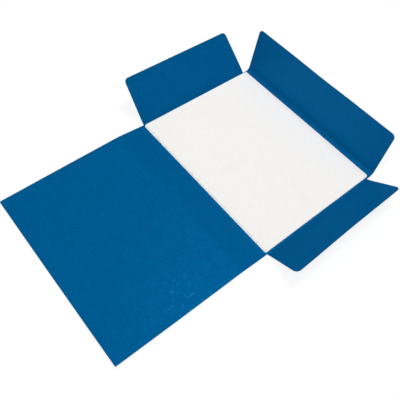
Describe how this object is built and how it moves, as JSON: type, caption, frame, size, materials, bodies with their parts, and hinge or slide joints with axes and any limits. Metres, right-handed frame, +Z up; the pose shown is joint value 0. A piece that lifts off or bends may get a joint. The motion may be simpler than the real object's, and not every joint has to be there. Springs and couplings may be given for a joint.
{
  "type": "three-flap folder",
  "caption": "Creased card folder lying open, with a gusseted top, side and bottom flap that fold in over loose sheets, a spine and a full front cover.",
  "frame": {"origin": "middle of the back panel's underside, which lies on the table", "axes": "+Z up out of the table, +X from the spine towards the side flap, +Y towards the top flap"},
  "size_m": [0.521, 0.4275, 0.093],
  "materials": {
    "blue_card": "solid-dyed pressed card, matt with a faint fibre mottle",
    "white_paper": "uncoated white office paper, matt"
  },
  "bodies": {
    "back": {"back_panel": "blue_card"},
    "spine_strip": {"spine": "blue_card"},
    "cover": {"front_cover": "blue_card"},
    "top_strip": {"top_gusset": "blue_card"},
    "top": {"top_flap": "blue_card"},
    "bottom_strip": {"bottom_gusset": "blue_card"},
    "bottom": {"bottom_flap": "blue_card"},
    "side_strip": {"side_gusset": "blue_card"},
    "side": {"side_flap": "blue_card"},
    "sheets": {"paper_stack": "white_paper"},
    "loose_sheet": {"top_sheet": "white_paper"}
  },
  "joints": [
    {"name": "spine_crease", "type": "hinge", "parent": "back", "child": "spine_strip", "pos_m": [-0.1212, 0, 0.0005], "axis": [0, 1, 0], "range_deg": [0, 85]},
    {"name": "cover_crease", "type": "hinge", "parent": "spine_strip", "child": "cover", "pos_m": [-0.14152, 0, 0.00228], "axis": [0, 1, 0], "range_deg": [0, 96]},
    {"name": "top_gusset_crease", "type": "hinge", "parent": "back", "child": "top_strip", "pos_m": [0, 0.1562, 0.0005], "axis": [1, 0, 0], "range_deg": [-42.5, 47.5]},
    {"name": "top_flap_crease", "type": "hinge", "parent": "top_strip", "child": "top", "pos_m": [0, 0.16239, 0.00617], "axis": [1, 0, 0], "range_deg": [0, 90]},
    {"name": "bottom_gusset_crease", "type": "hinge", "parent": "back", "child": "bottom_strip", "pos_m": [0, -0.1562, 0.0005], "axis": [-1, 0, 0], "range_deg": [-29.5, 60.5]},
    {"name": "bottom_flap_crease", "type": "hinge", "parent": "bottom_strip", "child": "bottom", "pos_m": [0, -0.16351, 0.00464], "axis": [-1, 0, 0], "range_deg": [0, 90]},
    {"name": "side_gusset_crease", "type": "hinge", "parent": "back", "child": "side_strip", "pos_m": [0.1212, 0, 0.0005], "axis": [0, -1, 0], "range_deg": [0, 90]},
    {"name": "side_flap_crease", "type": "hinge", "parent": "side_strip", "child": "side", "pos_m": [0.1311, 0, 0.0005], "axis": [0, -1, 0], "range_deg": [-86.4, 3.6]},
    {"name": "paper_stack_lift", "type": "slide", "parent": "back", "child": "sheets", "axis": [0, 0, 1], "range_m": [0, 0.15]},
    {"name": "top_sheet_lift", "type": "slide", "parent": "sheets", "child": "loose_sheet", "axis": [0, 0, 1], "range_m": [0, 0.06]}
  ]
}
